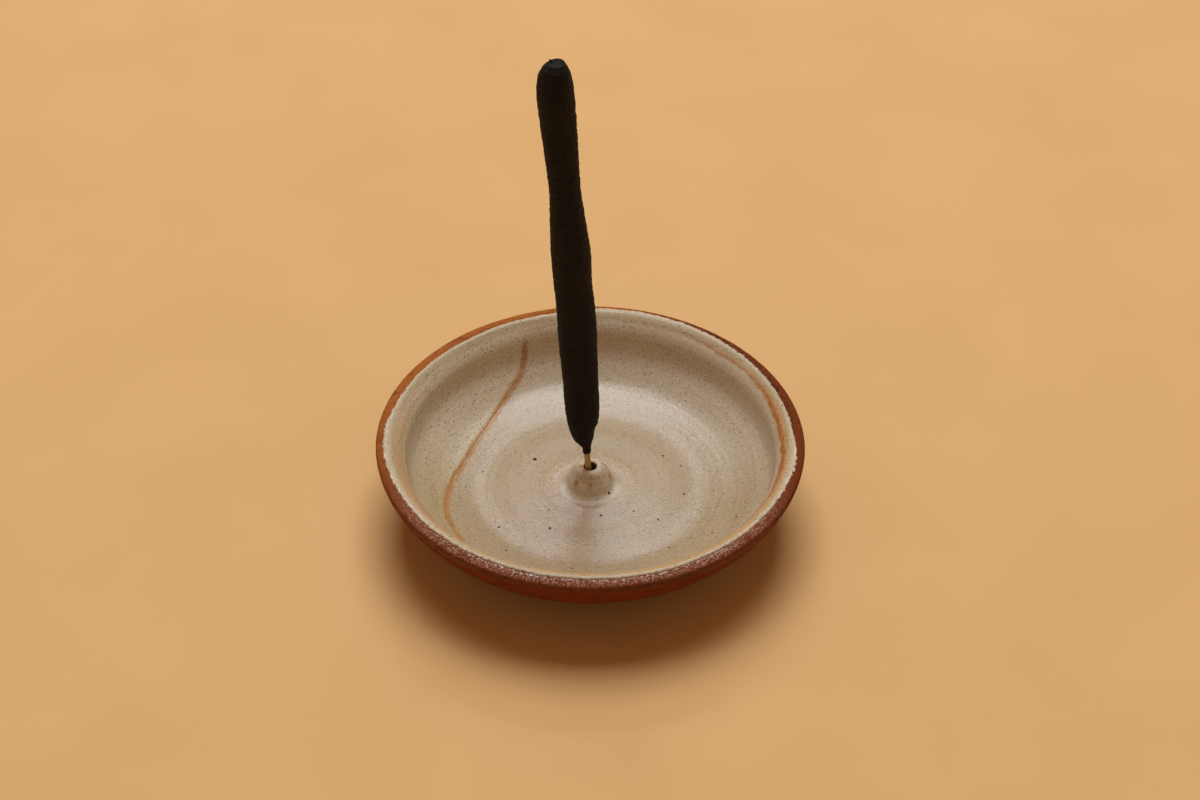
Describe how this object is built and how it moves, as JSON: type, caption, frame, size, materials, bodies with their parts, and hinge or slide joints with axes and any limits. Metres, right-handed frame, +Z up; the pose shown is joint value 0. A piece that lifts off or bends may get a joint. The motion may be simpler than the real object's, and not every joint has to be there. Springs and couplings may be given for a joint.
{
  "type": "incense stick holder",
  "caption": "Shallow wheel-thrown stoneware dish on a turned foot, glazed inside, with a domed and pierced socket in its middle that holds an upright incense stick.",
  "frame": {"origin": "centre of the foot ring's resting plane, on the axis on which the dish was thrown", "axes": "+Z up along that axis, -Y towards the viewer of the picture, -X towards the side to which the stick leans"},
  "size_m": [0.125, 0.125, 0.1557],
  "materials": {
    "clay": "matte",
    "liner_glaze": "satin",
    "overlap_glaze": "satin",
    "bamboo": "matte",
    "incense_paste": "matte"
  },
  "bodies": {
    "dish": {"dish": "clay", "stick_socket": "clay", "liner_glaze": "liner_glaze", "overlap_glaze": "overlap_glaze"},
    "incense_stick": {"bamboo_core": "bamboo", "incense_paste": "incense_paste"}
  },
  "joints": [
    {"name": "stick_lift", "type": "slide", "parent": "dish", "child": "incense_stick", "axis": [-0.0661, 0, 0.9978], "range_m": [0, 0.03]}
  ]
}
